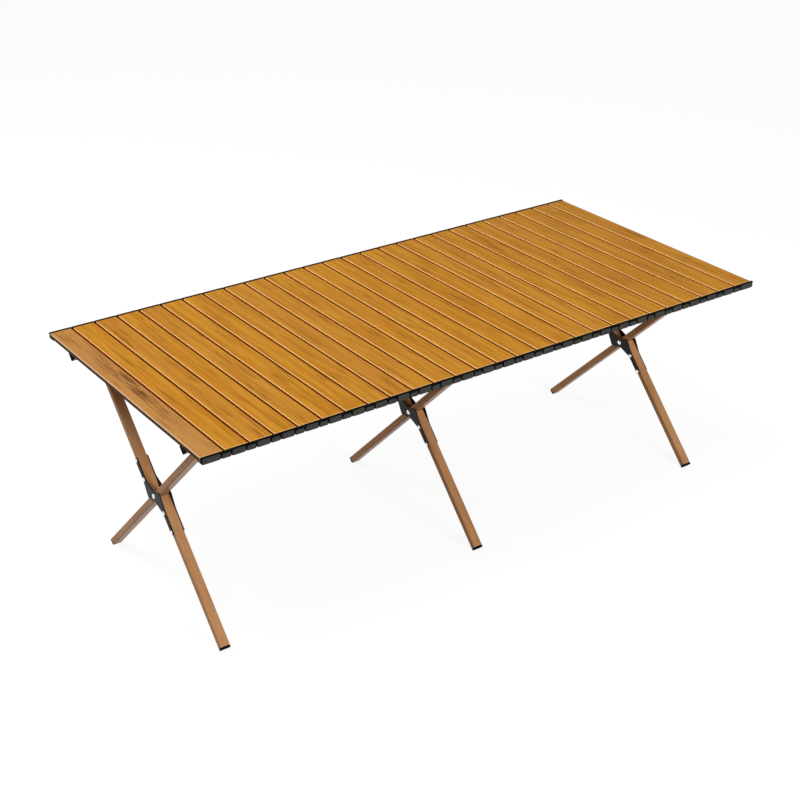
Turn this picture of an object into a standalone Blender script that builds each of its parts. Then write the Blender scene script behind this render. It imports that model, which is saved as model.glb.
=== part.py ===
"""Folding camp table: a slatted roll-up top laid on a folding frame of three crossed leg sets.

Metres, +Z up, +X along the table. The origin is on the floor under the middle of the top.
"""
import math

import bmesh
import bpy
from mathutils import Matrix, Vector

# Table top
TOP_LENGTH = 1.200
TABLE_HEIGHT = 0.425
SLAT_COUNT = 27
SLAT_LENGTH = 0.552
SLAT_GAP = 0.0006
SLAT_DEPTH = 0.0080
SLAT_WALL = 0.0014
SLAT_CHAMFER = 0.0012

# End caps, with the link block that reaches under the next slat
CAP_PROUD = 0.0052
CAP_DEPTH = 0.0125
FLANGE_TOP = 0.0002
FLANGE_DEPTH = 0.0032
LONG_BLOCK_WIDTH = 0.0250
LINK_WIDTH = 0.0178
LINK_DROP = 0.0004
LINK_CLEARANCE = 0.0006
BLOCK_RADIUS = 0.0020
BLOCK_REACH_IN = 0.009

# Hinge between two slats, at the groove
HINGE_DROP = 0.0016
KNUCKLE_RADIUS = 0.00135
HINGE_PIN_RADIUS = 0.00070
HINGE_CLEARANCE = 0.0003
KNUCKLE_GAP = 0.0005

# Frame tubes
TUBE_WIDTH = 0.018
TUBE_DEPTH = 0.013
TUBE_WALL = 0.0012
TUBE_RADIUS = 0.0020
RAIL_SIZE = 0.016
RAIL_RADIUS = 0.0020
RAIL_INSET = 0.0100
RAIL_PLUG_CAP = 0.0025
SPIGOT_LENGTH = 0.012
FRAME_INSET = 0.058
RAIL_HALF_SPAN = 0.2055
FOOT_HALF_SPAN = 0.2040
FOOT_CAP = 0.0040
FOOT_FLAT_DROP = 0.0015
FOLD_CLEARANCE = 0.0005

# Pivot plates, rivets and pins
PLATE_THICKNESS = 0.0022
ARM_HALF_WIDTH = 0.0045
ARM_TIP_ROUNDING = 0.95
SHOULDER_MARGIN = 0.0050
SHOULDER_TOP = 0.0100
SHOULDER_BASE = 0.0040
SHOULDER_RADIUS = 0.0025
WAIST_SIDE = 0.0040
WAIST_DROP = 0.0090
WAIST_RADIUS = 0.0060
RIVET_NEAR = 0.0360
RIVET_FAR = 0.0725
RIVET_RADIUS = 0.0016
RIVET_HEAD_RADIUS = 0.0037
RIVET_HEAD_HEIGHT = 0.0014
RIVET_HEAD_TIP = 0.70
RIVET_SIDES = 6
HEAD_SIDES = 8
PIN_RADIUS = 0.0030
PIN_HEAD_RADIUS = 0.0046
PIN_HEAD_HEIGHT = 0.0018
PIN_CROWN = 0.75
PIN_SIDES = 10
HOLE_CLEARANCE = 0.0003

FIT_GAP = 0.0003
BITE = 0.0003

# Corners flatter than this are shaded smooth, in degrees
SMOOTH_CORNER = 50.0

# Worked out from the driving sizes
PITCH = (TOP_LENGTH + SLAT_GAP) / SLAT_COUNT
SLAT_WIDTH = PITCH - SLAT_GAP
HINGE_ROOM = KNUCKLE_RADIUS + KNUCKLE_GAP
SPLIT_OFFSET = 2 * (TUBE_DEPTH + FOLD_CLEARANCE)
FRAME_PLACES = (-(TOP_LENGTH / 2 - FRAME_INSET), 0.0, TOP_LENGTH / 2 - FRAME_INSET)
RAIL_LENGTH = TOP_LENGTH - 2 * RAIL_INSET
RAIL_HALF_DIAGONAL = (RAIL_SIZE / 2 - RAIL_RADIUS) * math.sqrt(2) + RAIL_RADIUS
RAIL_HEIGHT = TABLE_HEIGHT - SLAT_DEPTH - FIT_GAP - RAIL_HALF_DIAGONAL

TEAK_FILM = ((0.56, 0.25, 0.045, 1.0), 0.45, 0.0)
BROWN_ENAMEL = ((0.40, 0.23, 0.12, 1.0), 0.45, 0.0)
CHARCOAL_PLASTIC = ((0.035, 0.035, 0.035, 1.0), 0.55, 0.0)
BLACK_STEEL = ((0.045, 0.045, 0.048, 1.0), 0.40, 0.3)
ZINC_STEEL = ((0.72, 0.72, 0.72, 1.0), 0.25, 1.0)


def clear_scene():
    for obj in list(bpy.data.objects):
        bpy.data.objects.remove(obj, do_unlink=True)


def material(name, finish):
    """One Principled BSDF of a colour, a roughness and a metallic value."""
    mat = bpy.data.materials.get(name)
    if mat is None:
        mat = bpy.data.materials.new(name)
        mat.use_nodes = True
        shader = mat.node_tree.nodes["Principled BSDF"]
        colour, roughness, metallic = finish
        shader.inputs["Base Color"].default_value = colour
        shader.inputs["Roughness"].default_value = roughness
        shader.inputs["Metallic"].default_value = metallic
    return mat


def evaluated_mesh(obj):
    """The object's mesh after its modifiers, closed up and facing outwards."""
    bpy.context.view_layer.update()
    graph = bpy.context.evaluated_depsgraph_get()
    mesh = bpy.data.meshes.new_from_object(obj.evaluated_get(graph))
    shape = bmesh.new()
    shape.from_mesh(mesh)
    bmesh.ops.remove_doubles(shape, verts=shape.verts, dist=1e-6)
    bmesh.ops.recalc_face_normals(shape, faces=shape.faces)
    shape.to_mesh(mesh)
    shape.free()
    return mesh


def mesh_object(name, mesh):
    obj = bpy.data.objects.new(name, mesh)
    bpy.context.scene.collection.objects.link(obj)
    return obj


def rounded_rectangle(width, height, radius, steps=2, centre=(0.0, 0.0)):
    """Corner arcs of a rectangle, anticlockwise."""
    points = []
    corners = ((1, 1, 0), (-1, 1, 90), (-1, -1, 180), (1, -1, 270))
    for side_x, side_y, start in corners:
        for step in range(steps + 1):
            turn = math.radians(start + 90 * step / steps)
            points.append((centre[0] + side_x * (width / 2 - radius) + radius * math.cos(turn),
                           centre[1] + side_y * (height / 2 - radius) + radius * math.sin(turn)))
    return points


def rounded_outline(corners, steps=2):
    """Round each corner of a polygon, given as (a, b, radius); a radius of zero keeps it sharp."""
    points = []
    count = len(corners)
    for index, (a, b, radius) in enumerate(corners):
        here = Vector((a, b))
        if radius == 0.0:
            points.append((a, b))
            continue
        before = (Vector(corners[index - 1][:2]) - here).normalized()
        after = (Vector(corners[(index + 1) % count][:2]) - here).normalized()
        half_angle = before.angle(after) / 2
        reach = radius / math.tan(half_angle)
        centre = here + (before + after).normalized() * radius / math.sin(half_angle)
        start = here + before * reach - centre
        sweep = start.angle_signed(here + after * reach - centre)
        for step in range(steps + 1):
            points.append(tuple(centre + Matrix.Rotation(-sweep * step / steps, 2) @ start))
    return points


def arc(radius, start, end, steps, centre=(0.0, 0.0)):
    """Points of a round stretch between two angles in degrees, both ends included."""
    turns = [math.radians(start + (end - start) * step / steps) for step in range(steps + 1)]
    return [(centre[0] + radius * math.cos(turn), centre[1] + radius * math.sin(turn)) for turn in turns]


ALONG_X = Matrix(((0, 0, 1, 0), (1, 0, 0, 0), (0, 1, 0, 0), (0, 0, 0, 1)))
ALONG_Y = Matrix(((1, 0, 0, 0), (0, 0, -1, 0), (0, 1, 0, 0), (0, 0, 0, 1)))
ALONG_Z = Matrix.Identity(4)


def prism(name, loops, thickness, axes=ALONG_Z, centre=(0.0, 0.0, 0.0)):
    """Solid of a flat outline, with its thickness along one axis; a second loop is a hollow."""
    curve = bpy.data.curves.new(name, "CURVE")
    curve.dimensions = "2D"
    curve.fill_mode = "BOTH"
    curve.extrude = thickness / 2
    for points in loops:
        spline = curve.splines.new("POLY")
        spline.points.add(len(points) - 1)
        for point, (a, b) in zip(spline.points, points):
            point.co = (a, b, 0.0, 1.0)
        spline.use_cyclic_u = True
    outline = bpy.data.objects.new(name, curve)
    bpy.context.scene.collection.objects.link(outline)
    mesh = evaluated_mesh(outline)
    bpy.data.objects.remove(outline, do_unlink=True)
    mesh.transform(Matrix.Translation(centre) @ axes)
    return mesh_object(name, mesh)


def block(name, low, high):
    """Plain box between two corners."""
    shape = bmesh.new()
    bmesh.ops.create_cube(shape, size=1.0)
    size = Vector(high) - Vector(low)
    middle = (Vector(high) + Vector(low)) / 2
    bmesh.ops.scale(shape, vec=size, verts=shape.verts)
    bmesh.ops.translate(shape, vec=middle, verts=shape.verts)
    mesh = bpy.data.meshes.new(name)
    shape.to_mesh(mesh)
    shape.free()
    return mesh_object(name, mesh)


def bar_along_x(name, radius, low_x, high_x, y, z, sides, tip_radius=None):
    """Round bar, or a cone with another radius at its high end, along X."""
    shape = bmesh.new()
    bmesh.ops.create_cone(shape, cap_ends=True, segments=sides, radius1=radius,
                          radius2=radius if tip_radius is None else tip_radius, depth=high_x - low_x)
    mesh = bpy.data.meshes.new(name)
    shape.to_mesh(mesh)
    shape.free()
    mesh.transform(Matrix.Translation(((low_x + high_x) / 2, y, z)) @ ALONG_X)
    return mesh_object(name, mesh)


def combine(target, other, operation):
    """Join or cut with an exact Boolean, and drop the other object."""
    modifier = target.modifiers.new("combine", "BOOLEAN")
    modifier.operation = operation
    modifier.object = other
    mesh = evaluated_mesh(target)
    target.modifiers.remove(modifier)
    target.data = mesh
    bpy.data.objects.remove(other, do_unlink=True)
    return target


def join_all(pieces):
    target = pieces[0]
    for piece in pieces[1:]:
        combine(target, piece, "UNION")
    return target


def merge_flat_faces(obj):
    """Take away the edges that the Booleans left inside flat faces."""
    shape = bmesh.new()
    shape.from_mesh(obj.data)
    bmesh.ops.dissolve_limit(shape, angle_limit=math.radians(0.5), verts=shape.verts, edges=shape.edges)
    bmesh.ops.triangulate(shape, faces=shape.faces)
    shape.to_mesh(obj.data)
    shape.free()
    return obj


def shade_rounded(obj):
    """Smooth shading over the rounded corners, with the square ones kept crisp."""
    obj.data.shade_smooth()
    obj.data.set_sharp_from_angle(angle=math.radians(SMOOTH_CORNER))


def turned(name, profile, steps):
    """Body of revolution about X from (radius, x) points, run from +X to -X."""
    mesh = bpy.data.meshes.new(name)
    mesh.from_pydata([(radius, 0.0, along) for radius, along in profile],
                     [(index, index + 1) for index in range(len(profile) - 1)], [])
    obj = mesh_object(name, mesh)
    screw = obj.modifiers.new("turn", "SCREW")
    screw.axis = "Z"
    screw.steps = steps
    screw.render_steps = steps
    screw.use_merge_vertices = True
    screw.merge_threshold = 0.00001
    solid = evaluated_mesh(obj)
    bpy.data.objects.remove(obj, do_unlink=True)
    solid.transform(ALONG_X)
    return mesh_object(name, solid)


# Geometry of the crossed legs, in the YZ plane
def crossing():
    """Angles of both legs, the pivot, and how far each rail and foot is from it along its leg."""
    half_depth = TUBE_DEPTH / 2
    span = RAIL_HALF_SPAN + FOOT_HALF_SPAN
    rise = RAIL_HEIGHT + FOOT_FLAT_DROP
    chord = math.hypot(span, rise)
    base = math.atan2(rise, span)
    through_angle = base - math.asin(half_depth / chord)
    split_angle = base + math.asin((SPLIT_OFFSET - half_depth) / chord)
    through_way = Vector((-math.cos(through_angle), math.sin(through_angle)))
    split_way = Vector((math.cos(split_angle), math.sin(split_angle)))
    up_front = Vector((-math.sin(split_angle), math.cos(split_angle)))
    front_rail = Vector((-RAIL_HALF_SPAN, RAIL_HEIGHT))
    back_rail = Vector((RAIL_HALF_SPAN, RAIL_HEIGHT))
    back_foot = Vector((FOOT_HALF_SPAN, -FOOT_FLAT_DROP))
    front_foot = Vector((-FOOT_HALF_SPAN, -FOOT_FLAT_DROP))
    middle_line = back_rail + up_front * SPLIT_OFFSET / 2
    between = middle_line - front_rail
    down_leg = between.cross(split_way) / through_way.cross(split_way)
    pivot = front_rail + through_way * down_leg
    return {
        "pivot": pivot,
        "through_angle": through_angle,
        "split_angle": split_angle,
        "front_rail": (front_rail - pivot).dot(through_way),
        "back_rail": (back_rail - pivot).dot(split_way),
        "back_foot": (back_foot - pivot).dot(through_way),
        "front_foot": (front_foot - pivot).dot(split_way),
    }


CROSS = crossing()
THROUGH_TURN = math.pi / 2 - CROSS["through_angle"]
SPLIT_TURN = CROSS["split_angle"] - math.pi / 2
PIVOT_PLACE = Vector((0.0, CROSS["pivot"].x, CROSS["pivot"].y))


def frame_matrix(turn):
    return Matrix.Translation(PIVOT_PLACE) @ Matrix.Rotation(turn, 4, "X")


# Frame pieces. Each is made about the pivot: Z runs up its leg, X along the table.
def tube_outline():
    outer = rounded_rectangle(TUBE_WIDTH, TUBE_DEPTH, TUBE_RADIUS)
    inner = rounded_rectangle(TUBE_WIDTH - 2 * TUBE_WALL, TUBE_DEPTH - 2 * TUBE_WALL, TUBE_RADIUS - TUBE_WALL, 1)
    return [outer, inner]


def leg_tube(name, low, high, offset, holes):
    """Tube along a leg, with holes across it, each given as (height, radius, sides)."""
    tube = prism(name, tube_outline(), high - low, ALONG_Z, (0.0, offset, (low + high) / 2))
    for height, radius, sides in holes:
        drill = bar_along_x("hole", radius, -TUBE_WIDTH, TUBE_WIDTH, offset, height, sides)
        combine(tube, drill, "DIFFERENCE")
    return merge_flat_faces(tube)


def rivet_holes(side):
    """Holes for the rivets above (side 1) or below (side -1) the pivot."""
    return [(side * height, RIVET_RADIUS + HOLE_CLEARANCE, RIVET_SIDES) for height in (RIVET_NEAR, RIVET_FAR)]


def through_leg():
    pivot_hole = (0.0, PIN_RADIUS + HOLE_CLEARANCE, PIN_SIDES)
    low = CROSS["back_foot"] + FOOT_CAP + FIT_GAP
    high = CROSS["front_rail"] - RAIL_SIZE / 2 - FIT_GAP
    return leg_tube("through_leg", low, high, 0.0, [pivot_hole])


def upper_leg():
    low = TUBE_DEPTH / 2 + FOLD_CLEARANCE
    high = CROSS["back_rail"] - RAIL_SIZE / 2 - FIT_GAP
    return leg_tube("upper_leg", low, high, SPLIT_OFFSET / 2, rivet_holes(1))


def lower_leg():
    low = CROSS["front_foot"] + FOOT_CAP + FIT_GAP
    high = -(TUBE_DEPTH / 2 + FOLD_CLEARANCE)
    return leg_tube("lower_leg", low, high, -SPLIT_OFFSET / 2, rivet_holes(-1))


def foot_plug(name, end, offset, turn):
    """Square plug in a leg's lower end, trimmed flat where it stands on the floor."""
    cap = prism(name, [rounded_rectangle(TUBE_WIDTH, TUBE_DEPTH, TUBE_RADIUS)], FOOT_CAP, ALONG_Z,
                (0.0, offset, end + FOOT_CAP / 2))
    inner_width = TUBE_WIDTH - 2 * TUBE_WALL - 2 * FIT_GAP
    inner_depth = TUBE_DEPTH - 2 * TUBE_WALL - 2 * FIT_GAP
    low = end + FOOT_CAP - BITE
    high = end + FOOT_CAP + SPIGOT_LENGTH
    outline = rounded_rectangle(inner_width, inner_depth, TUBE_RADIUS - TUBE_WALL, 1)
    spigot = prism("spigot", [outline], high - low, ALONG_Z, (0.0, offset, (low + high) / 2))
    combine(cap, spigot, "UNION")
    floor = block("floor_cut", (-TUBE_WIDTH, -2 * FOOT_HALF_SPAN, -TABLE_HEIGHT),
                  (TUBE_WIDTH, 2 * FOOT_HALF_SPAN, 0.0))
    floor.data.transform(frame_matrix(turn).inverted())
    combine(cap, floor, "DIFFERENCE")
    return merge_flat_faces(cap)


def rail(name, offset, height):
    outer = rounded_rectangle(RAIL_SIZE, RAIL_SIZE, RAIL_RADIUS, 2, (offset, height))
    hollow = RAIL_SIZE - 2 * TUBE_WALL
    inner = rounded_rectangle(hollow, hollow, RAIL_RADIUS - TUBE_WALL, 1, (offset, height))
    return prism(name, [outer, inner], RAIL_LENGTH, ALONG_X)


def rail_plug(name, side, offset, height):
    """Square end plug of a rail, at its left (side -1) or right (side 1) end."""
    outer = rounded_rectangle(RAIL_SIZE, RAIL_SIZE, RAIL_RADIUS, 2, (offset, height))
    face = RAIL_LENGTH / 2 + FIT_GAP
    cap = prism(name, [outer], RAIL_PLUG_CAP, ALONG_X, (side * (face + RAIL_PLUG_CAP / 2), 0.0, 0.0))
    inner_size = RAIL_SIZE - 2 * TUBE_WALL - 2 * FIT_GAP
    inner = rounded_rectangle(inner_size, inner_size, RAIL_RADIUS - TUBE_WALL, 1, (offset, height))
    middle = side * (face + BITE / 2 - SPIGOT_LENGTH / 2)
    spigot = prism("spigot", [inner], SPIGOT_LENGTH + BITE, ALONG_X, (middle, 0.0, 0.0))
    return merge_flat_faces(combine(cap, spigot, "UNION"))


def plate_outline():
    """Z-shaped plate: a narrow arm along each half of the split leg, wide about the pivot."""
    axis = SPLIT_OFFSET / 2
    inner = axis - ARM_HALF_WIDTH
    outer = axis + ARM_HALF_WIDTH
    shoulder = axis + TUBE_DEPTH / 2 + SHOULDER_MARGIN
    tip = RIVET_FAR + ARM_HALF_WIDTH
    tip_radius = ARM_TIP_ROUNDING * ARM_HALF_WIDTH
    half = [
        (inner, RIVET_NEAR, 0.0),
        (inner, tip, tip_radius),
        (outer, tip, tip_radius),
        (outer, RIVET_NEAR, 0.0),
        (shoulder, SHOULDER_TOP, SHOULDER_RADIUS),
        (shoulder, SHOULDER_BASE, SHOULDER_RADIUS),
        (WAIST_SIDE, -WAIST_DROP, WAIST_RADIUS),
    ]
    return rounded_outline(half + [(-y, -height, radius) for y, height, radius in half])


def rivet_places():
    axis = SPLIT_OFFSET / 2
    return [(side * axis, side * height) for side in (1, -1) for height in (RIVET_NEAR, RIVET_FAR)]


def pivot_plate(side):
    """Plate on the left (side -1) or right (side 1) of a leg set; the left one carries the rivets."""
    face = TUBE_WIDTH / 2 + FIT_GAP
    outside = face + PLATE_THICKNESS
    middle = side * (face + PLATE_THICKNESS / 2)
    plate = prism("pivot_plate", [plate_outline()], PLATE_THICKNESS, ALONG_X, (middle, 0.0, 0.0))
    hole = bar_along_x("hole", PIN_RADIUS + HOLE_CLEARANCE, -2 * outside, 2 * outside, 0.0, 0.0, PIN_SIDES)
    combine(plate, hole, "DIFFERENCE")
    tip = RIVET_HEAD_TIP * RIVET_HEAD_RADIUS
    top = outside + RIVET_HEAD_HEIGHT
    for y, height in rivet_places():
        if side < 0:
            head = bar_along_x("head", tip, -top, BITE - outside, y, height, HEAD_SIDES, RIVET_HEAD_RADIUS)
            shank = bar_along_x("shank", RIVET_RADIUS, BITE - outside, face - FIT_GAP, y, height, RIVET_SIDES)
            combine(plate, shank, "UNION")
        else:
            head = bar_along_x("head", RIVET_HEAD_RADIUS, outside - BITE, top, y, height, HEAD_SIDES, tip)
        combine(plate, head, "UNION")
    return merge_flat_faces(plate)


def pivot_pin():
    """Riveted shaft through both plates and the through leg, with a domed head at each end."""
    seat = TUBE_WIDTH / 2 + FIT_GAP + PLATE_THICKNESS + FIT_GAP
    half = [
        (0.0, seat + PIN_HEAD_HEIGHT),
        (PIN_CROWN * PIN_HEAD_RADIUS, seat + PIN_CROWN * PIN_HEAD_HEIGHT),
        (PIN_HEAD_RADIUS, seat),
        (PIN_RADIUS, seat),
    ]
    profile = half + [(radius, -along) for radius, along in reversed(half)]
    return turned("pivot_pin", profile, PIN_SIDES)


# Slats. Each is made about its left hinge axis: X across the slat, Y along it.
def channel_outline():
    """Section of the extrusion: a chamfered face and two lips, open below."""
    left = SLAT_GAP / 2
    right = left + SLAT_WIDTH
    top = HINGE_DROP
    bottom = top - SLAT_DEPTH
    under = top - SLAT_WALL
    return [
        (left, bottom), (left, top - SLAT_CHAMFER), (left + SLAT_CHAMFER, top),
        (right - SLAT_CHAMFER, top), (right, top - SLAT_CHAMFER), (right, bottom),
        (right - SLAT_WALL, bottom), (right - SLAT_WALL, under),
        (left + SLAT_WALL, under), (left + SLAT_WALL, bottom),
    ]


def end_block(name, side, x_range, q_range, z_range):
    """Box at one end of a slat; q is measured outwards from the end of the wood-coloured face."""
    ends = sorted(side * (SLAT_LENGTH / 2 + q) for q in q_range)
    return block(name, (x_range[0], ends[0], z_range[0]), (x_range[1], ends[1], z_range[1]))


def end_prism(name, side, loops, q_range):
    """Flat outline in X and Z at one end of a slat, as thick as its q range."""
    middle = side * (SLAT_LENGTH / 2 + (q_range[0] + q_range[1]) / 2)
    return prism(name, loops, q_range[1] - q_range[0], ALONG_Y, (0.0, middle, 0.0))


def hanging_outline(low, high, bottom, top):
    """Block that hangs from the cap, rounded at its lower corners."""
    return rounded_outline([
        (low, bottom, BLOCK_RADIUS), (high, bottom, BLOCK_RADIUS), (high, top, 0.0), (low, top, 0.0),
    ], 1)


def link_outline(bottom, flange_bottom):
    """Link block below the groove: its right half rises into its own cap, its left half is free."""
    half = LINK_WIDTH / 2
    top = flange_bottom - LINK_DROP
    return rounded_outline([
        (-half, top, 0.0), (-half, bottom, BLOCK_RADIUS), (half, bottom, BLOCK_RADIUS),
        (half, flange_bottom + BITE, 0.0), (HINGE_ROOM, flange_bottom + BITE, 0.0), (HINGE_ROOM, top, 0.0),
    ], 1)


def cap_pieces(side, has_left, has_right):
    """Solids of one end cap; has_left and has_right say where a neighbour is linked."""
    left = SLAT_GAP / 2
    right = left + SLAT_WIDTH
    flange_bottom = HINGE_DROP - FLANGE_DEPTH
    block_bottom = HINGE_DROP - CAP_DEPTH
    block_top = HINGE_DROP - SLAT_WALL + BITE
    long_low = (PITCH - LONG_BLOCK_WIDTH) / 2 if has_left else left + 2 * BITE
    long_high = (PITCH + LONG_BLOCK_WIDTH) / 2 if has_right else right - 2 * BITE
    flange_low = HINGE_ROOM if has_left else left + BITE
    flange_high = PITCH - HINGE_ROOM if has_right else right - BITE
    pieces = [
        end_block("flange", side, (flange_low, flange_high), (FIT_GAP, CAP_PROUD - BITE),
                  (flange_bottom, HINGE_DROP - FLANGE_TOP)),
        end_prism("long_block", side, [hanging_outline(long_low, long_high, block_bottom, block_top)],
                  (-BLOCK_REACH_IN, CAP_PROUD)),
    ]
    split = CAP_PROUD / 2
    if has_left:
        ear = arc(KNUCKLE_RADIUS, 90, 270, 3)
        ear += [(HINGE_ROOM + BITE, -KNUCKLE_RADIUS), (HINGE_ROOM + BITE, KNUCKLE_RADIUS)]
        bore = arc(HINGE_PIN_RADIUS + HINGE_CLEARANCE, 0, 300, 5)
        pieces += [
            end_prism("link", side, [link_outline(block_bottom, flange_bottom)], (LINK_CLEARANCE, CAP_PROUD)),
            end_prism("outer_ear", side, [ear, bore], (split + HINGE_CLEARANCE / 2, CAP_PROUD - 2 * BITE)),
        ]
    if has_right:
        ear = arc(KNUCKLE_RADIUS, -90, 90, 3, (PITCH, 0.0))
        ear += [(PITCH - HINGE_ROOM - BITE, KNUCKLE_RADIUS), (PITCH - HINGE_ROOM - BITE, -KNUCKLE_RADIUS)]
        pin = arc(HINGE_PIN_RADIUS, 0, 300, 5, (PITCH, 0.0))
        pieces += [
            end_prism("inner_ear", side, [ear], (HINGE_CLEARANCE, split - HINGE_CLEARANCE / 2)),
            end_prism("hinge_pin", side, [pin], (2 * BITE, CAP_PROUD - 2 * BITE)),
        ]
    return pieces


def slat(name, has_left, has_right):
    """Extrusion with both its end caps, as one solid with a film and a plastic material."""
    film = material("teak_film_aluminium", TEAK_FILM)
    plastic = material("charcoal_plastic", CHARCOAL_PLASTIC)
    body = prism(name, [channel_outline()], SLAT_LENGTH, ALONG_Y)
    pieces = cap_pieces(-1, has_left, has_right) + cap_pieces(1, has_left, has_right)
    for obj in [body] + pieces:
        obj.data.materials.clear()
        obj.data.materials.append(film)
        obj.data.materials.append(plastic)
        for face in obj.data.polygons:
            face.material_index = 0 if obj is body else 1
    join_all([body] + pieces)
    return merge_flat_faces(body)


def collect(name):
    collection = bpy.data.collections.new(name)
    bpy.context.scene.collection.children.link(collection)
    return collection


def place(collection, model, name, location, parent=None, finish=None):
    """Put a copy of a piece, sharing its mesh, at its place."""
    obj = bpy.data.objects.new(name, model.data)
    obj.location = location
    obj.parent = parent
    if finish is not None and not model.data.materials:
        model.data.materials.append(finish)
    collection.objects.link(obj)
    return obj


def axis_empty(collection, name, turn):
    """Empty on the pivot axis that carries one leg frame."""
    empty = bpy.data.objects.new(name, None)
    empty.location = PIVOT_PLACE
    empty.rotation_euler = (turn, 0.0, 0.0)
    collection.objects.link(empty)
    return empty


def build_frames(collection):
    enamel = material("brown_enamel_aluminium", BROWN_ENAMEL)
    plastic = material("charcoal_plastic", CHARCOAL_PLASTIC)
    steel = material("black_steel", BLACK_STEEL)
    zinc = material("zinc_steel", ZINC_STEEL)
    through = axis_empty(collection, "through_frame_axis", THROUGH_TURN)
    split = axis_empty(collection, "split_frame_axis", SPLIT_TURN)
    lower_offset = -SPLIT_OFFSET / 2
    models = [
        (through_leg(), "through_leg", through, enamel),
        (foot_plug("plug", CROSS["back_foot"], 0.0, THROUGH_TURN), "back_foot", through, plastic),
        (pivot_pin(), "pivot_pin", through, zinc),
        (upper_leg(), "upper_leg", split, enamel),
        (lower_leg(), "lower_leg", split, enamel),
        (foot_plug("plug", CROSS["front_foot"], lower_offset, SPLIT_TURN), "front_foot", split, plastic),
        (pivot_plate(-1), "left_pivot_plate", split, steel),
        (pivot_plate(1), "right_pivot_plate", split, steel),
    ]
    for model, name, parent, finish in models:
        shade_rounded(model)
        for number, x in enumerate(FRAME_PLACES, start=1):
            place(collection, model, f"{name}_{number}", (x, 0.0, 0.0), parent, finish)
        bpy.data.objects.remove(model, do_unlink=True)
    rails = (("front", through, 0.0, CROSS["front_rail"]), ("back", split, SPLIT_OFFSET / 2, CROSS["back_rail"]))
    for end, parent, offset, height in rails:
        pieces = [(rail("rail", offset, height), f"{end}_rail", enamel)]
        for side, word in ((-1, "left"), (1, "right")):
            pieces.append((rail_plug("plug", side, offset, height), f"{end}_rail_plug_{word}", plastic))
        for model, name, finish in pieces:
            shade_rounded(model)
            place(collection, model, name, (0.0, 0.0, 0.0), parent, finish)
            bpy.data.objects.remove(model, do_unlink=True)


def build_top(collection):
    first = slat("first_slat", False, True)
    between = slat("slat", True, True)
    last = slat("last_slat", True, False)
    start = -(TOP_LENGTH + SLAT_GAP) / 2
    for index in range(SLAT_COUNT):
        model = first if index == 0 else last if index == SLAT_COUNT - 1 else between
        location = (start + index * PITCH, 0.0, TABLE_HEIGHT - HINGE_DROP)
        place(collection, model, f"slat_{index + 1:02d}", location)
    for model in (first, between, last):
        bpy.data.objects.remove(model, do_unlink=True)


def main():
    clear_scene()
    table = collect("folding_camp_table")
    build_top(table)
    build_frames(table)
    angles = [math.degrees(CROSS[key]) for key in ("through_angle", "split_angle")]
    print("pivot", [round(value, 5) for value in PIVOT_PLACE], "leg angles", [round(a, 2) for a in angles])


main()
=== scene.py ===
# %% [markdown]
# # A folding camp table with a roll-up slatted top
#
# The table has two halves that come apart. The top is a row of 27 aluminium slats in a teak-grain film,
# hinged to each other through dark plastic end caps, so that it rolls up. The frame is three pairs of crossed
# tubes under two long rails. This lesson dresses a finished engineering model of it: every piece goes where
# that model says, in metres, with the floor at zero and X along the table.

# %% Load the engineering model
import math

import bmesh
import bpy
from mathutils import Matrix, Vector


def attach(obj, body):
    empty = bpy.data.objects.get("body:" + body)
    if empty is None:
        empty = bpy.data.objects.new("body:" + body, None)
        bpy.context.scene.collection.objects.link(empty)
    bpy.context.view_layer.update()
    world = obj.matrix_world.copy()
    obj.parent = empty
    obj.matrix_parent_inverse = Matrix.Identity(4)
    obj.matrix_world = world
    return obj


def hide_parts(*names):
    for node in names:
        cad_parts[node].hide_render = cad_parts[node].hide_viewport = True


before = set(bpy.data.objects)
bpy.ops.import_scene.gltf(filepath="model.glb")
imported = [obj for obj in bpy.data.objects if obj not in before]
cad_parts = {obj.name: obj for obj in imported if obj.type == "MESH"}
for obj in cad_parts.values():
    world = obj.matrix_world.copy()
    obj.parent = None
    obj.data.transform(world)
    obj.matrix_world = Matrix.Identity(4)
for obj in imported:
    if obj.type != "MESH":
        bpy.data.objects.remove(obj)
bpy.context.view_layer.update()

# %% [markdown]
# ## The camera
#
# A camera can be aimed by hand, but a view that has to match a picture is better worked out. The four corners
# of the top, the feet and the pivots were measured in the picture, and the camera below is the one that puts
# the model's own points nearest to them. It is given as an azimuth and an elevation, a distance, and a small
# step sideways and up in the camera's own plane. The lens follows from the focal length in pixels.

# %% Camera
PICTURE_SIDE = 800
SENSOR_WIDTH = 36.0
FOCAL_PIXELS = 1544.3
CAMERA_AZIMUTH = math.radians(-35.28)
CAMERA_ELEVATION = math.radians(27.29)
CAMERA_DISTANCE = 3.052
CAMERA_SIDESTEP = -0.0254
CAMERA_RISE = 0.2035


def direction(azimuth, elevation):
    """Unit vector from the table to a viewer or a lamp; azimuth 0 is the front, 90 degrees the right end."""
    return Vector((math.sin(azimuth) * math.cos(elevation), -math.cos(azimuth) * math.cos(elevation),
                   math.sin(elevation)))


def placed(name, data):
    """New object with this data in the scene."""
    obj = bpy.data.objects.new(name, data)
    bpy.context.scene.collection.objects.link(obj)
    return obj


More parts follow.
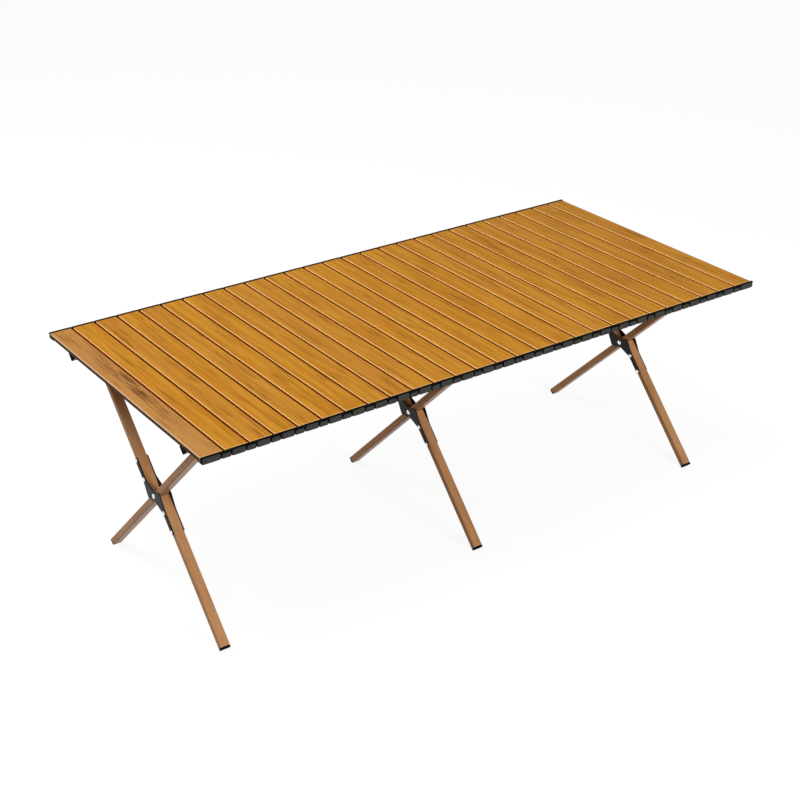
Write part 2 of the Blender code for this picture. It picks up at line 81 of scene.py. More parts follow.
back = direction(CAMERA_AZIMUTH, CAMERA_ELEVATION)
right = Vector((math.cos(CAMERA_AZIMUTH), math.sin(CAMERA_AZIMUTH), 0.0))
up = back.cross(right)
camera_data = bpy.data.cameras.new("camera")
camera_data.sensor_width = SENSOR_WIDTH
camera_data.lens = FOCAL_PIXELS * SENSOR_WIDTH / PICTURE_SIDE
camera = placed("camera", camera_data)
place = right * CAMERA_SIDESTEP + up * CAMERA_RISE + back * CAMERA_DISTANCE
camera.matrix_world = Matrix.Translation(place) @ Matrix((right, up, back)).transposed().to_4x4()
bpy.context.scene.camera = camera
bpy.context.scene.view_settings.view_transform = "Standard"
print("lens", round(camera_data.lens, 1), "mm, camera at", [round(v, 3) for v in place])

# %% [markdown]
# ## Colours and nodes
#
# Colours are easiest to choose on screen, as hex values, but a renderer adds up light, so it wants them
# linear. One function turns one into the other. A second one adds a node to any tree, with its settings and
# its links, and a few small ones stand on it for sums and vectors, so that each material and each geometry
# tree below reads as a short list.

# %% Colour and node helpers
def linear(hex_colour):
    """Linear RGBA of an sRGB hex colour such as C08040."""
    channels = [int(hex_colour[start:start + 2], 16) / 255 for start in (0, 2, 4)]
    return tuple(c / 12.92 if c <= 0.04045 else ((c + 0.055) / 1.055) ** 2.4 for c in channels) + (1.0,)


def add_node(tree, kind, inputs=None, **settings):
    """Add a node: settings are its properties, inputs gives each socket a value or another node's output."""
    node = tree.nodes.new(kind)
    for name, value in settings.items():
        setattr(node, name, value)
    for socket, value in (inputs or {}).items():
        if isinstance(value, bpy.types.NodeSocket):
            tree.links.new(value, node.inputs[socket])
        else:
            node.inputs[socket].default_value = value
    return node


def calc(tree, operation, *values):
    """Result of one sum on numbers or sockets, such as ADD or LESS_THAN."""
    return add_node(tree, "ShaderNodeMath", dict(enumerate(values)), operation=operation).outputs[0]


def vector(tree, **parts):
    """Vector made of X, Y and Z, each zero unless it is given."""
    return add_node(tree, "ShaderNodeCombineXYZ", parts).outputs[0]


def parts_of(tree, source):
    """Outputs X, Y and Z of a vector."""
    return add_node(tree, "ShaderNodeSeparateXYZ", {0: source}).outputs


def shader_inputs(made):
    return made.node_tree.nodes["Principled BSDF"].inputs


def new_material(name, roughness, metallic=0.0, specular=0.5):
    """Material with its shader's plain values set on the shader's own sockets."""
    made = bpy.data.materials.new(name)
    made.use_nodes = True
    inputs = shader_inputs(made)
    inputs["Roughness"].default_value = roughness
    inputs["Metallic"].default_value = metallic
    inputs["Specular IOR Level"].default_value = specular
    return made, made.node_tree


print("a warm brown in linear light", [round(c, 3) for c in linear("C5842F")])

# %% [markdown]
# ## Floor and light
#
# Product pictures are taken on a white sweep under large soft lamps. The floor here is a plain sheet of
# paper. It glows to the camera and to mirrors only, so that it looks white without lighting the table from
# below, and it still takes the table's soft shadow. The world does the same: white where it is seen or
# mirrored, softer where it lights. One lamp stands low in front and lights the end caps, a large one hangs
# high on the left over the top, and one behind on the left lights the left edge of each slat, where the film
# also has a painted highlight.

# %% Floor
FLOOR_RADIUS = 14.0
FLOOR_SIDES = 96
PAPER_GREY = "787878"
PAPER_GLOW = 0.88
WHITE = "FFFFFF"


def seen_or_mirrored(tree):
    """1 for rays that the camera, a mirror or clear glass sends out, 0 for rays that carry bounced light."""
    rays = add_node(tree, "ShaderNodeLightPath").outputs
    gloss = calc(tree, "MAXIMUM", rays["Is Camera Ray"], rays["Is Glossy Ray"])
    return calc(tree, "MAXIMUM", gloss, rays["Is Transmission Ray"])


floor_paint, tree = new_material("white_paper_sweep", 1.0, specular=0.0)
paper = shader_inputs(floor_paint)
paper["Base Color"].default_value = linear(PAPER_GREY)
paper["Emission Color"].default_value = linear(WHITE)
glow = calc(tree, "MULTIPLY", seen_or_mirrored(tree), PAPER_GLOW)
tree.links.new(glow, paper["Emission Strength"])
bpy.ops.mesh.primitive_circle_add(vertices=FLOOR_SIDES, radius=FLOOR_RADIUS, fill_type="NGON")
floor = bpy.context.object
floor.name = "floor"
floor.data.materials.append(floor_paint)
print("floor radius", FLOOR_RADIUS, "m")

# %% World and lamps
WORLD_LIGHT = 0.37
LAMP_AIM = Vector((0.0, 0.0, 0.3))
LAMPS = {
    "front_softbox": {"azimuth": 4, "elevation": 19, "distance": 3.0, "size": 1.0, "power": 36},
    "top_softbox": {"azimuth": -80, "elevation": 68, "distance": 3.0, "size": 2.0, "power": 36},
    "edge_light": {"azimuth": -148, "elevation": 31, "distance": 3.2, "size": 1.1, "power": 22},
}

world = bpy.data.worlds.new("white_studio")
bpy.context.scene.world = world
world.use_nodes = True
tree = world.node_tree
sky = tree.nodes["Background"]
glow = add_node(tree, "ShaderNodeMapRange",
                {"Value": seen_or_mirrored(tree), "To Min": WORLD_LIGHT, "To Max": 1.0})
tree.links.new(glow.outputs["Result"], sky.inputs["Strength"])
sky.inputs["Color"].default_value = linear(WHITE)
for name, lamp in LAMPS.items():
    light = bpy.data.lights.new(name, "AREA")
    light.shape = "DISK"
    light.size = lamp["size"]
    light.energy = lamp["power"]
    holder = placed(name, light)
    ray = direction(math.radians(lamp["azimuth"]), math.radians(lamp["elevation"]))
    holder.location = ray * lamp["distance"] + LAMP_AIM
    holder.rotation_mode = "QUATERNION"
    holder.rotation_quaternion = ray.to_track_quat("Z", "Y")
    print(name, [round(v, 2) for v in holder.location])

# %% [markdown]
# ## Patterns
#
# Every finish below is made of noise. Noise that is stretched far more one way than the other gives grain,
# and noise in fine speckles gives the skin of a plastic or a paint. A window turns soft noise into clear
# marks, and each mark is laid over the colour below it.

# %% Pattern helpers
def stored(tree, name, output="Fac"):
    """Value that the mesh itself carries under this name."""
    return add_node(tree, "ShaderNodeAttribute", attribute_name=name).outputs[output]


def object_place(tree):
    return add_node(tree, "ShaderNodeTexCoord").outputs["Object"]


def noise(tree, place, scale, detail, roughness=0.5):
    return add_node(tree, "ShaderNodeTexNoise", {"Vector": place, "Scale": scale, "Detail": detail,
                                                 "Roughness": roughness}).outputs["Fac"]


def drawn_out(tree, place, size, detail, lane):
    """Noise whose marks are size[0] wide across the grain and size[1] long along it, in metres."""
    squeeze = add_node(tree, "ShaderNodeVectorMath", {0: place, 1: (1 / size[0], 1 / size[1], 1.0)},
                       operation="MULTIPLY")
    shift = add_node(tree, "ShaderNodeVectorMath", {0: squeeze.outputs[0], 1: (0.0, 0.0, lane)})
    return noise(tree, shift.outputs[0], 1.0, detail, 0.55)


def window(tree, value, low, high):
    """0 below low, 1 above high, and a smooth rise between."""
    step = add_node(tree, "ShaderNodeMapRange", {"Value": value, "From Min": low, "From Max": high},
                    interpolation_type="SMOOTHSTEP")
    return step.outputs["Result"]


def times(tree, *values):
    """Product of two or more values."""
    product = values[0]
    for value in values[1:]:
        product = calc(tree, "MULTIPLY", product, value)
    return product


def tint(tree, factor, under, over):
    """Colour under, covered by colour over as far as factor says."""
    blend = add_node(tree, "ShaderNodeMix", {"Factor": factor, "A": under, "B": over}, data_type="RGBA")
    return blend.outputs["Result"]


def finish_surface(made, colour, height, depth, strength):
    """Give the material its colour, and a fine relief of this depth in metres."""
    tree = made.node_tree
    relief = add_node(tree, "ShaderNodeBump", {"Height": height, "Distance": depth, "Strength": strength})
    tree.links.new(colour, shader_inputs(made)["Base Color"])
    tree.links.new(relief.outputs["Normal"], shader_inputs(made)["Normal"])
    print(made.name, "nodes", len(tree.nodes))


print("patterns", [pattern.__name__ for pattern in (noise, drawn_out, window, tint)])

# %% [markdown]
# ## Teak-grain film
#
# The slats are extruded aluminium, covered with a thin printed film that is wrapped over their edges. Close
# up, teak is a warm golden brown with long soft bands, fine dark streaks that gather in places, and a few
# short knots, all drawn along the slat. The film is matt, so it has little reflection, only a faint emboss
# that follows the grain. Each slat has its own number stored on it, which shifts the pattern, as every slat
# is cut from another stretch of the film. The first slat is a paler stretch with a dark hatched patch. The
# chamfer along each slat's left edge has a painted highlight, the sides of the grooves have painted shade in
# deep brown, and on the first slat's free side both take their own tones. The front cut ends have a thin
# painted highlight and the back cut ends a thin painted shadow.

# %% Film colours and sizes
TEAK_LIGHT = "D2922E"
TEAK_MID = "BF7C24"
TEAK_STREAK = "86500F"
# Knot brown, also used as the painted shadow along the back cut ends.
TEAK_KNOT_AND_END_SHADOW = "5A2F08"
TEAK_PALE = "C08A52"
TEAK_HATCH = "6A4526"
# Pale orange painted highlight for each slat's left chamfer and for the front cut ends.
EDGE_PAINTED_HIGHLIGHT = "FFC47A"
# Deep brown painted shade for the sides of the grooves.
PAINTED_GROOVE_SHADE = "7E3200"
# On the first slat's free left side: a paler painted highlight on the chamfer and a greyer painted shade on
# the wall.
FREE_SIDE_PAINTED_HIGHLIGHT = "E6C6A4"
FREE_WALL_PAINTED_SHADE = "54402E"
FREE_EDGE_X = -0.597
FREE_EDGE_REACH = 0.004
# Where the thin painted highlight at the front cut end and the painted shadow at the back one begin.
FRONT_END_PAINTED_HIGHLIGHT = -0.2745
BACK_END_PAINTED_SHADOW = 0.2735
END_BLUR = 0.0002
BAND = (0.0090, 0.200)
STREAK = (0.0036, 0.095)
CLUSTER = (0.018, 0.120)
KNOT = (0.0032, 0.034)
PORE = (0.0007, 0.020)
HATCH = (0.0019, 0.060)
HATCH_MIDDLE = -0.5735
HATCH_ACROSS = (0.0150, 0.0050)
HATCH_ALONG = (0.22, 0.04)
WANDER = (0.030, 0.110)
WANDER_REACH = 0.006
SLAT_SHIFT = 7.31

print("film bands", BAND, "streaks", STREAK, "knots", KNOT)


# %% Teak-grain film
def grain_place(tree, number):
    """Across-grain X and along-grain Y that wander a little, with the slat's number as the third value."""
    here = parts_of(tree, object_place(tree))
    place = vector(tree, X=here["X"], Y=here["Y"], Z=calc(tree, "MULTIPLY", number, SLAT_SHIFT))
    sway = add_node(tree, "ShaderNodeMapRange", {"Value": drawn_out(tree, place, WANDER, 1.0, 3.0),
                                                 "To Min": -WANDER_REACH / 2, "To Max": WANDER_REACH / 2})
    moved = vector(tree, X=sway.outputs["Result"])
    return add_node(tree, "ShaderNodeVectorMath", {0: place, 1: moved}).outputs[0]


teak_film, tree = new_material("teak_print_film", 0.36, specular=0.006)
pale = stored(tree, "film_pale")
place = grain_place(tree, stored(tree, "slat_number"))
spot = parts_of(tree, object_place(tree))

bands = window(tree, drawn_out(tree, place, BAND, 3.0, 11.0), 0.32, 0.68)
gathered = window(tree, drawn_out(tree, place, CLUSTER, 2.0, 23.0), 0.45, 0.60)
streaks = times(tree, window(tree, drawn_out(tree, place, STREAK, 3.0, 37.0), 0.46, 0.70), gathered)
knots = times(tree, window(tree, drawn_out(tree, place, KNOT, 1.0, 51.0), 0.66, 0.80), gathered)
pores = drawn_out(tree, place, PORE, 1.0, 67.0)

first_slat = window(tree, pale, 0.60, 0.90)
from_line = calc(tree, "ABSOLUTE", calc(tree, "SUBTRACT", parts_of(tree, place)["X"], HATCH_MIDDLE))
patch = times(tree, window(tree, calc(tree, "ABSOLUTE", spot["Y"]), *HATCH_ALONG),
              window(tree, from_line, *HATCH_ACROSS))
hatch = times(tree, window(tree, drawn_out(tree, place, HATCH, 3.0, 83.0), 0.40, 0.60), patch, first_slat)
# The first slat's free left side, where the painted highlight and painted shade take their own tones.
free_side = times(tree, first_slat, window(tree, spot["X"], FREE_EDGE_X + FREE_EDGE_REACH, FREE_EDGE_X))

LAYERS = [
    (pale, 0.75, linear(TEAK_PALE)),
    (streaks, 0.68, linear(TEAK_STREAK)),
    (knots, 0.60, linear(TEAK_KNOT_AND_END_SHADOW)),
    (hatch, 0.95, linear(TEAK_HATCH)),
    (window(tree, pores, 0.45, 0.75), 0.16, linear(TEAK_STREAK)),
    # Painted highlight on the left chamfers, paler on the first slat's free edge.
    (stored(tree, "painted_edge_highlight"), 0.85, tint(tree, first_slat, linear(EDGE_PAINTED_HIGHLIGHT), linear(FREE_SIDE_PAINTED_HIGHLIGHT))),
    # Painted shade on the sides of the grooves, greyer on the first slat's free wall.
    (stored(tree, "painted_groove_shade"), 0.90, tint(tree, free_side, linear(PAINTED_GROOVE_SHADE), linear(FREE_WALL_PAINTED_SHADE))),
    # Painted highlight along the front cut ends and painted shadow along the back ones.
    (window(tree, spot["Y"], FRONT_END_PAINTED_HIGHLIGHT, FRONT_END_PAINTED_HIGHLIGHT - END_BLUR), 0.70, linear(EDGE_PAINTED_HIGHLIGHT)),
    (window(tree, spot["Y"], BACK_END_PAINTED_SHADOW, BACK_END_PAINTED_SHADOW + END_BLUR), 0.90, linear(TEAK_KNOT_AND_END_SHADOW)),
]
colour = tint(tree, bands, linear(TEAK_LIGHT), linear(TEAK_MID))
for mask, share, over in LAYERS:
    colour = tint(tree, times(tree, mask, share), colour, over)
finish_surface(teak_film, colour, pores, depth=0.00005, strength=0.5)

# %% [markdown]
# ## Brown enamel on the tubes
#
# The tubes are aluminium with a baked enamel in a light brown wood tone. Powder enamel melts into a satin
# skin with a very fine orange peel, and here it carries a faint drawn grain along each tube. The pattern
# reads coordinates that are stored on each tube, because the legs lean and a grain in room coordinates would
# cut across them.

# %% Brown enamel
ENAMEL_WARM = "D69F6E"
ENAMEL_DEEP = "C88F5E"
ENAMEL_LINE = "83572F"
ENAMEL_GRAIN = (0.0016, 0.060)
ENAMEL_CLOUD = (0.020, 0.090)
ORANGE_PEEL = 0.0009

enamel, tree = new_material("satin_brown_enamel", 0.30, specular=0.06)
along = stored(tree, "along_tube", "Vector")
cloud = window(tree, drawn_out(tree, along, ENAMEL_CLOUD, 2.0, 5.0), 0.35, 0.65)
lines = window(tree, drawn_out(tree, along, ENAMEL_GRAIN, 2.0, 9.0), 0.40, 0.70)
colour = tint(tree, cloud, linear(ENAMEL_WARM), linear(ENAMEL_DEEP))
colour = tint(tree, times(tree, lines, 0.30), colour, linear(ENAMEL_LINE))
finish_surface(enamel, colour, noise(tree, along, 1 / ORANGE_PEEL, 1.0), depth=0.00003, strength=0.4)

# %% [markdown]
# ## Plastic, black steel and zinc
#
# The end caps and plugs are moulded nylon: dull, a little lighter where the mould was textured. The plugs
# are nearly black. On the caps only the proud faces of the blocks and links are charcoal; the rims, ears and
# the blocks behind those faces take a nearly black copy of the nylon as painted shade. The plates on the
# crossings are pressed steel under black paint, which is smoother. The rivets and pins are zinc-plated, so
# they are plain metal, bright and slightly uneven.

# %% Nylon
MOULD_GRAIN = 0.0006
MOULD_CLOUD = 1 / 60


def moulded(name, dark, light, roughness, specular):
    """Moulded plastic: two close tones in fine speckles and slow clouds, with the speckles as relief."""
    made, tree = new_material(name, roughness, specular=specular)
    place = object_place(tree)
    speckle = noise(tree, place, 1 / MOULD_GRAIN, 2.0)
    mixed = times(tree, speckle, noise(tree, place, 1 / MOULD_CLOUD, 2.0))
    colour = tint(tree, window(tree, mixed, 0.12, 0.40), linear(dark), linear(light))
    finish_surface(made, colour, speckle, depth=0.00006, strength=0.5)
    return made


nylon = moulded("charcoal_nylon", "22221F", "363632", 0.50, 0.30)
# The plugs' own near-black, which on the caps also serves as painted shade.
black_nylon_and_painted_shade = moulded("black_nylon_and_painted_shade", "0B0B0B", "161615", 0.60, 0.01)

# %% Black paint on steel
PAINT_BLACK = "171717"
PAINT_GREY = "242424"
PAINT_PEEL = 0.0008
PAINT_CLOUD = 1 / 90

black_paint, tree = new_material("black_paint_on_steel", 0.42, specular=0.12)
place = object_place(tree)
dust = window(tree, noise(tree, place, 1 / PAINT_CLOUD, 3.0), 0.35, 0.70)
colour = tint(tree, dust, linear(PAINT_BLACK), linear(PAINT_GREY))
finish_surface(black_paint, colour, noise(tree, place, 1 / PAINT_PEEL, 1.0), depth=0.00004, strength=0.4)

# %% Zinc plating
ZINC_BRIGHT = "F0F1F2"
ZINC_DULL = "CDD0D2"
ZINC_BLOOM = 1 / 700

zinc, tree = new_material("zinc_plated_steel", 0.24, metallic=1.0)
bloom = noise(tree, object_place(tree), 1 / ZINC_BLOOM, 2.0)
colour = tint(tree, bloom, linear(ZINC_BRIGHT), linear(ZINC_DULL))
tree.links.new(colour, shader_inputs(zinc)["Base Color"])
dull = add_node(tree, "ShaderNodeMapRange", {"Value": bloom, "To Min": 0.16, "To Max": 0.30})
tree.links.new(dull.outputs["Result"], shader_inputs(zinc)["Roughness"])
print(zinc.name, "nodes", len(tree.nodes))

# %% [markdown]
# ## One tree for a rounded bar
#
# Most pieces of the top are short bars with a rounded section: blocks, links, flanges. A small geometry tree
# makes them, because the same bar comes back hundreds of times with other sizes. A rectangle gets its
# corners filleted and is then swept along a straight line across the table, with its ends filled.

# %% Geometry tree helpers
def geometry_tree(name, inputs):
    """Geometry tree and its inputs, each given with its value, or with its kind of socket as a word."""
    made = bpy.data.node_groups.new(name, "GeometryNodeTree")
    made.interface.new_socket("Geometry", in_out="OUTPUT", socket_type="NodeSocketGeometry")
    for label, value in inputs.items():
        kind = value if isinstance(value, str) else {float: "Float", int: "Int"}[type(value)]
        socket = made.interface.new_socket(label, in_out="INPUT", socket_type=f"NodeSocket{kind}")
        if value != kind:
            socket.default_value = value
    return made, made.nodes.new("NodeGroupInput").outputs


def finish_tree(made, geometry):
    """Turn instances into real faces and close the tree."""
    real = add_node(made, "GeometryNodeRealizeInstances", {"Geometry": geometry})
    add_node(made, "NodeGroupOutput", {"Geometry": real.outputs["Geometry"]})
    print(made.name, "nodes", len(made.nodes))


def socket_id(made, label):
    """Identifier of a tree's input, by its name."""
    for item in made.interface.items_tree:
        if item.item_type == "SOCKET" and item.in_out == "INPUT" and item.name == label:
            return item.identifier
    raise KeyError(label)


def swept(tree, outline, low, high):
    """Solid of a flat outline, swept across the table from low to high."""
    path = add_node(tree, "GeometryNodeCurvePrimitiveLine",
                    {"Start": vector(tree, Z=low), "End": vector(tree, Z=high)})
    solid = add_node(tree, "GeometryNodeCurveToMesh",
                     {"Curve": path.outputs[0], "Profile Curve": outline, "Fill Caps": True})
    return add_node(tree, "GeometryNodeTransform", {"Geometry": solid.outputs[0],
                                                    "Rotation": (-math.pi / 2, 0.0, 0.0)}).outputs[0]


BAR_INPUTS = {"Width": 0.02, "Height": 0.01, "Radius": 0.001, "Middle": "Vector"}
rounded_bar, given = geometry_tree("rounded_bar", {**BAR_INPUTS, "From Y": 0.0, "To Y": 0.005})
section = add_node(rounded_bar, "GeometryNodeCurvePrimitiveQuadrilateral",
                   {"Width": given["Width"], "Height": given["Height"]})
soft = add_node(rounded_bar, "GeometryNodeFilletCurve",
                {"Curve": section.outputs[0], "Radius": given["Radius"], "Count": 4}, mode="POLY")
laid = swept(rounded_bar, soft.outputs[0], given["From Y"], given["To Y"])
moved = add_node(rounded_bar, "GeometryNodeTransform", {"Geometry": laid, "Translation": given["Middle"]})
finish_tree(rounded_bar, moved.outputs[0])

# %% From a tree to a plain piece
BEVEL_CORNER = math.radians(40)
SMOOTH_CORNER = math.radians(38)


def plain_mesh(obj):
    """The object's mesh with every modifier worked out; the object itself is dropped."""
    bpy.context.view_layer.update()
    graph = bpy.context.evaluated_depsgraph_get()
    mesh = bpy.data.meshes.new_from_object(obj.evaluated_get(graph), depsgraph=graph)
    bpy.data.objects.remove(obj, do_unlink=True)
    return mesh


def soften(obj, width):
    """Round the sharp edges a little, as every moulded, cut or pressed edge is."""
    bevel = obj.modifiers.new("worn_edge", "BEVEL")
    bevel.width = width
    bevel.segments = 2
    bevel.limit_method = "ANGLE"
    bevel.angle_limit = BEVEL_CORNER


def grow(tree, values, bevel=0.0, base=None):
    """Mesh that a geometry tree makes with these input values."""
    obj = placed("grown", base or bpy.data.meshes.new("empty"))
    modifier = obj.modifiers.new("tree", "NODES")
    modifier.node_group = tree
    for label, value in values.items():
        modifier[socket_id(tree, label)] = value
    if bevel:
        soften(obj, bevel)
    return plain_mesh(obj)


def flat_between_rims(mesh):
    """Let each point take its normal from its largest faces, so that faces between round rims look flat."""
    obj = placed("shaded", mesh)
    weighted = obj.modifiers.new("normals", "WEIGHTED_NORMAL")
    weighted.mode = "FACE_AREA"
    weighted.weight = 100
    weighted.keep_sharp = True
    return plain_mesh(obj)


def add_piece(name, mesh, body, nodes, material):
    """A finished mesh becomes a piece that rides on its body and stands for its engineering nodes."""
    mesh.materials.clear()
    mesh.materials.append(material)
    mesh.shade_smooth()
    mesh.set_sharp_from_angle(angle=SMOOTH_CORNER)
    mesh = flat_between_rims(mesh)
    mesh.name = name
    piece = placed(name, mesh)
    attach(piece, body)
    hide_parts(*nodes)


print("edges over", math.degrees(BEVEL_CORNER), "degrees are rounded")

# %% [markdown]
# ## The slats
#
# A real slat is a long aluminium channel pressed through a die: a flat face with a chamfer along its left
# edge and a low tongue along its right one, so that neighbours leave a groove with a dark side and a bright
# one, which the film deepens with painted shade and a painted highlight. Its section is drawn once as a flat
# curve, each point with its own corner radius. The tree fillets it, sweeps it across the table, and sets it
# out as a row by a rule: one slat every pitch. Each slat moves on its own hinge, so the tree is asked for one
# slat at a time. It also stores the slat's number and its tone, its chamfer, which the film gives a painted
# highlight, and its deep sides, which the film gives painted shade.

# %% Slat sizes
TOP_LENGTH = 1.200
SLAT_COUNT = 27
SLAT_GAP = 0.0009
HINGE_GAP = 0.0006
SLAT_LENGTH = 0.552
SLAT_TOP = 0.425
SLAT_DEPTH = 0.0080
SLAT_WALL = 0.0014
SLAT_LIP = 0.0004
SLAT_BEVEL = 0.00025
CHAMFER_WIDTH = 0.0015
CHAMFER_DEPTH = 0.0011
TONGUE_REACH = 0.0034
TONGUE_DROP = 0.0028
PITCH = (TOP_LENGTH + HINGE_GAP) / SLAT_COUNT
FIRST_HINGE = -(TOP_LENGTH + HINGE_GAP) / 2
SLAT_LEFT = SLAT_GAP / 2
SLAT_RIGHT = PITCH - SLAT_GAP / 2
STEP = SLAT_RIGHT - TONGUE_REACH
print("pitch", round(PITCH * 1000, 3), "mm")


# %% Slat section
def section_curve(name, corners):
    """Closed flat curve through (x, z, corner radius); the radius rides on each point."""
    curve = bpy.data.curves.new(name, "CURVE")
    curve.dimensions = "2D"
    curve.fill_mode = "NONE"
    spline = curve.splines.new("POLY")
    spline.points.add(len(corners) - 1)
    for point, (x, z, radius) in zip(spline.points, corners):
        point.co = (x, -z, 0.0, 1.0)
        point.radius = radius
    spline.use_cyclic_u = True
    return curve


def channel_corners():
    """Channel with a chamfer on the left and a stepped tongue on the right; z 0 is the upper face."""
    wall = SLAT_WALL
    lip = SLAT_LIP
    return [
        (SLAT_LEFT, -SLAT_DEPTH, lip), (SLAT_LEFT, -CHAMFER_DEPTH, 0.0003),
        (SLAT_LEFT + CHAMFER_WIDTH, 0.0, 0.0006), (STEP, 0.0, 0.0012), (STEP + 0.0005, -TONGUE_DROP, 0.0004),
        (SLAT_RIGHT, -TONGUE_DROP, 0.0006), (SLAT_RIGHT, -SLAT_DEPTH, lip),
        (SLAT_RIGHT - wall, -SLAT_DEPTH, lip), (SLAT_RIGHT - wall, -TONGUE_DROP - wall, 0.0006),
        (STEP - wall, -TONGUE_DROP - wall, 0.0004), (STEP - wall, -2 * wall, 0.0004),
        (SLAT_LEFT + wall, -2 * wall, 0.0008), (SLAT_LEFT + wall, -SLAT_DEPTH, lip),
    ]


slat_section = section_curve("slat_section", channel_corners())
print("section points", len(channel_corners()))

# %% A row, one piece at a time
ROW_INPUTS = {"Length": 0.5, "Pitch": 0.04, "Count": 27, "Slat": 0, "Start": "Vector"}


def marked(tree, geometry, name, value, domain):
    """Store a value under a name on each face or point."""
    return add_node(tree, "GeometryNodeStoreNamedAttribute",
                    {"Geometry": geometry, "Name": name, "Value": value},
                    data_type="FLOAT", domain=domain).outputs[0]


def one_of_row(tree, given, shape, marks):
    """Set the shape out in a row, one every pitch, but only at the slat that is asked for."""
    points = add_node(tree, "GeometryNodeMeshLine",
                      {"Count": given["Count"], "Start Location": given["Start"],
                       "Offset": vector(tree, X=given["Pitch"])}).outputs[0]
    for name, value in marks.items():
        points = marked(tree, points, name, value, "POINT")
    index = add_node(tree, "GeometryNodeInputIndex").outputs[0]
    chosen = add_node(tree, "FunctionNodeCompare", {2: index, 3: given["Slat"]}, data_type="INT",
                      operation="EQUAL").outputs[0]
    return add_node(tree, "GeometryNodeInstanceOnPoints",
                    {"Points": points, "Selection": chosen, "Instance": shape}).outputs[0]


def row_values(number):
    """Tree inputs that ask for one slat of the row."""
    return {"Length": SLAT_LENGTH, "Pitch": PITCH, "Count": SLAT_COUNT, "Slat": number,
            "Start": (FIRST_HINGE, 0.0, SLAT_TOP)}


print("row starts at", FIRST_HINGE)

# %% Slat row tree
TONE_RANGE = 0.20
TONE_SEED = 4
CHAMFER_LEAN = -0.12
CHAMFER_RISE = 0.25
UNDERSIDE = -0.3
DEEP_FROM = -0.00005
LEFT_SIDE_TO = SLAT_LEFT + 0.0006
RIGHT_SIDE_FROM = STEP - 0.0013

slat_row, given = geometry_tree("slat_row", {"Section": "Geometry", **ROW_INPUTS})
corner = add_node(slat_row, "GeometryNodeInputNamedAttribute", {"Name": "radius"}, data_type="FLOAT")
soft = add_node(slat_row, "GeometryNodeFilletCurve",
                {"Curve": given["Section"], "Radius": corner.outputs["Attribute"], "Count": 3,
                 "Limit Radius": True}, mode="POLY")
laid = swept(slat_row, soft.outputs[0], calc(slat_row, "MULTIPLY", given["Length"], -0.5),
             calc(slat_row, "MULTIPLY", given["Length"], 0.5))

facing = parts_of(slat_row, add_node(slat_row, "GeometryNodeInputNormal").outputs[0])
level = parts_of(slat_row, add_node(slat_row, "GeometryNodeInputPosition").outputs[0])
# Faces of the left chamfer, which the film gives a painted highlight.
chamfer = times(slat_row, calc(slat_row, "LESS_THAN", facing["X"], CHAMFER_LEAN),
                calc(slat_row, "GREATER_THAN", facing["Z"], CHAMFER_RISE))
at_a_side = calc(slat_row, "MAXIMUM", calc(slat_row, "LESS_THAN", level["X"], LEFT_SIDE_TO),
                 calc(slat_row, "GREATER_THAN", level["X"], RIGHT_SIDE_FROM))
# Deep sides of the grooves, which the film gives painted shade.
deep = times(slat_row, calc(slat_row, "LESS_THAN", level["Z"], DEEP_FROM), at_a_side,
             calc(slat_row, "GREATER_THAN", facing["Z"], UNDERSIDE), calc(slat_row, "SUBTRACT", 1.0, chamfer))
shape = marked(slat_row, laid, "painted_edge_highlight", chamfer, "FACE")
shape = marked(slat_row, shape, "painted_groove_shade", deep, "FACE")

index = add_node(slat_row, "GeometryNodeInputIndex").outputs[0]
chance = add_node(slat_row, "FunctionNodeRandomValue",
                  {2: 0.0, 3: TONE_RANGE, "ID": index, "Seed": TONE_SEED}, data_type="FLOAT")
tone = calc(slat_row, "MAXIMUM", chance.outputs[1], calc(slat_row, "LESS_THAN", index, 0.5))
finish_tree(slat_row, one_of_row(slat_row, given, shape, {"slat_number": index, "film_pale": tone}))

# %% Make the slats
for number in range(SLAT_COUNT):
    node = f"slat_{number + 1:02d}"
    mesh = grow(slat_row, row_values(number), SLAT_BEVEL, slat_section)
    add_piece(f"film_slat_{number + 1:02d}", mesh, node, [node], teak_film)
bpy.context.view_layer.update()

# %% [markdown]
# ## End caps and links
#
# Each slat end is closed by a moulded cap. A thin flange covers the cut edge, a long block hangs below the
# middle of the slat, and a shorter link block hangs below each groove and reaches under the neighbour. Two
# ears meet at each groove round a small pin. All of these are rounded bars, one at the front end and one at
# the back, so one tree makes such a pair in the row of slats, and it is called for each kind of bar.

# %% Tree for a pair of bars
end_pair, given = geometry_tree("end_pair", {**BAR_INPUTS, "Inner": 0.0, "Outer": 0.005, **ROW_INPUTS})
half = calc(end_pair, "MULTIPLY", given["Length"], 0.5)
near = calc(end_pair, "ADD", half, given["Inner"])
far = calc(end_pair, "ADD", half, given["Outer"])
back_near = calc(end_pair, "MULTIPLY", near, -1.0)
back_far = calc(end_pair, "MULTIPLY", far, -1.0)
both = add_node(end_pair, "GeometryNodeJoinGeometry")
for low_y, high_y in ((near, far), (back_far, back_near)):
    bar = add_node(end_pair, "GeometryNodeGroup", node_tree=rounded_bar)
    for label in BAR_INPUTS:
        end_pair.links.new(given[label], bar.inputs[label])
    end_pair.links.new(low_y, bar.inputs["From Y"])
    end_pair.links.new(high_y, bar.inputs["To Y"])
    end_pair.links.new(bar.outputs[0], both.inputs[0])
finish_tree(end_pair, one_of_row(end_pair, given, both.outputs[0], {}))

